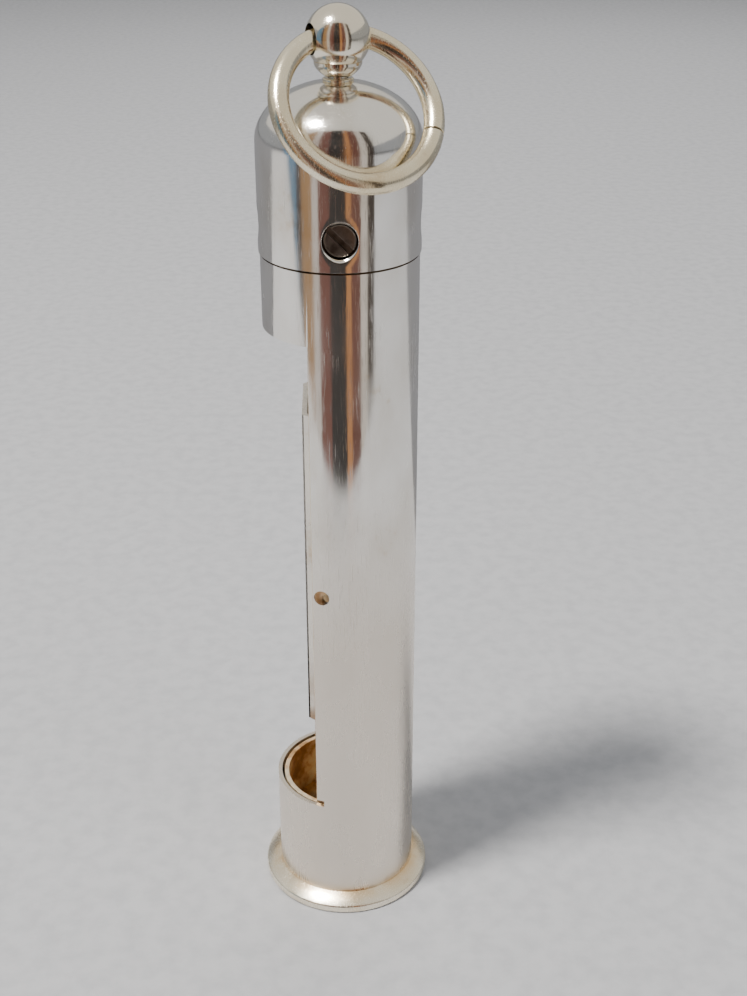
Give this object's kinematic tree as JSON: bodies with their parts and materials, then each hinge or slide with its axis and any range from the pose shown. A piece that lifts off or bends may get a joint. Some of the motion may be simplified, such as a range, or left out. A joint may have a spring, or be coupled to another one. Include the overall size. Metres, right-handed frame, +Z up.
{
  "type": "pocket call whistle",
  "caption": "Cylindrical silver pocket call whistle with a side window, a domed screw-held cap and a swivelling ring finial.",
  "frame": {"origin": "centre of the breath hole's mouth, in the underside of the foot", "axes": "+Z up the barrel's axis to the finial, -X out of the window, -Y the side with the small sight hole"},
  "size_m": [0.0198, 0.0203, 0.1015],
  "materials": {
    "polished_silver": "mirror polished silver with fine wear scratches",
    "foot_silver": "polished silver with a warm yellow tarnish",
    "resonator_silver": "satin silver",
    "tarnished_silver": "brown and orange tarnish on satin silver",
    "gilt_brass": "turned satin brass",
    "tarnished_brass": "turned brass, darkened at the seam",
    "blued_steel": "dull brushed steel, darkened",
    "ring_silver": "drawn silver wire, warm and worn"
  },
  "bodies": {
    "whistle": {"barrel": "polished_silver", "foot": "foot_silver", "breath_bush": "gilt_brass", "liner": "tarnished_silver", "baffle": "gilt_brass", "resonator": "resonator_silver", "resonator_head": "resonator_silver", "hanger_rod": "gilt_brass", "rod_nut_upper": "gilt_brass", "rod_nut_lower": "gilt_brass", "top_plug": "tarnished_brass", "cap": "polished_silver", "cap_screw_front": "blued_steel", "cap_screw_right": "blued_steel", "cap_screw_back": "blued_steel", "cap_screw_left": "blued_steel", "dome_washer": "ring_silver"},
    "finial": {"ball_finial": "polished_silver", "swivel_burr": "gilt_brass"},
    "ring": {"ring": "ring_silver"}
  },
  "joints": [
    {"name": "finial_swivel", "type": "hinge", "parent": "whistle", "child": "finial", "pos_m": [0, 0, 0.09835], "axis": [0, 0, 1], "continuous": true},
    {"name": "ring_swing", "type": "hinge", "parent": "finial", "child": "ring", "pos_m": [0, 0, 0.09835], "axis": [-0.9205, -0.3907, 0], "range_deg": [0, 282.6]}
  ]
}
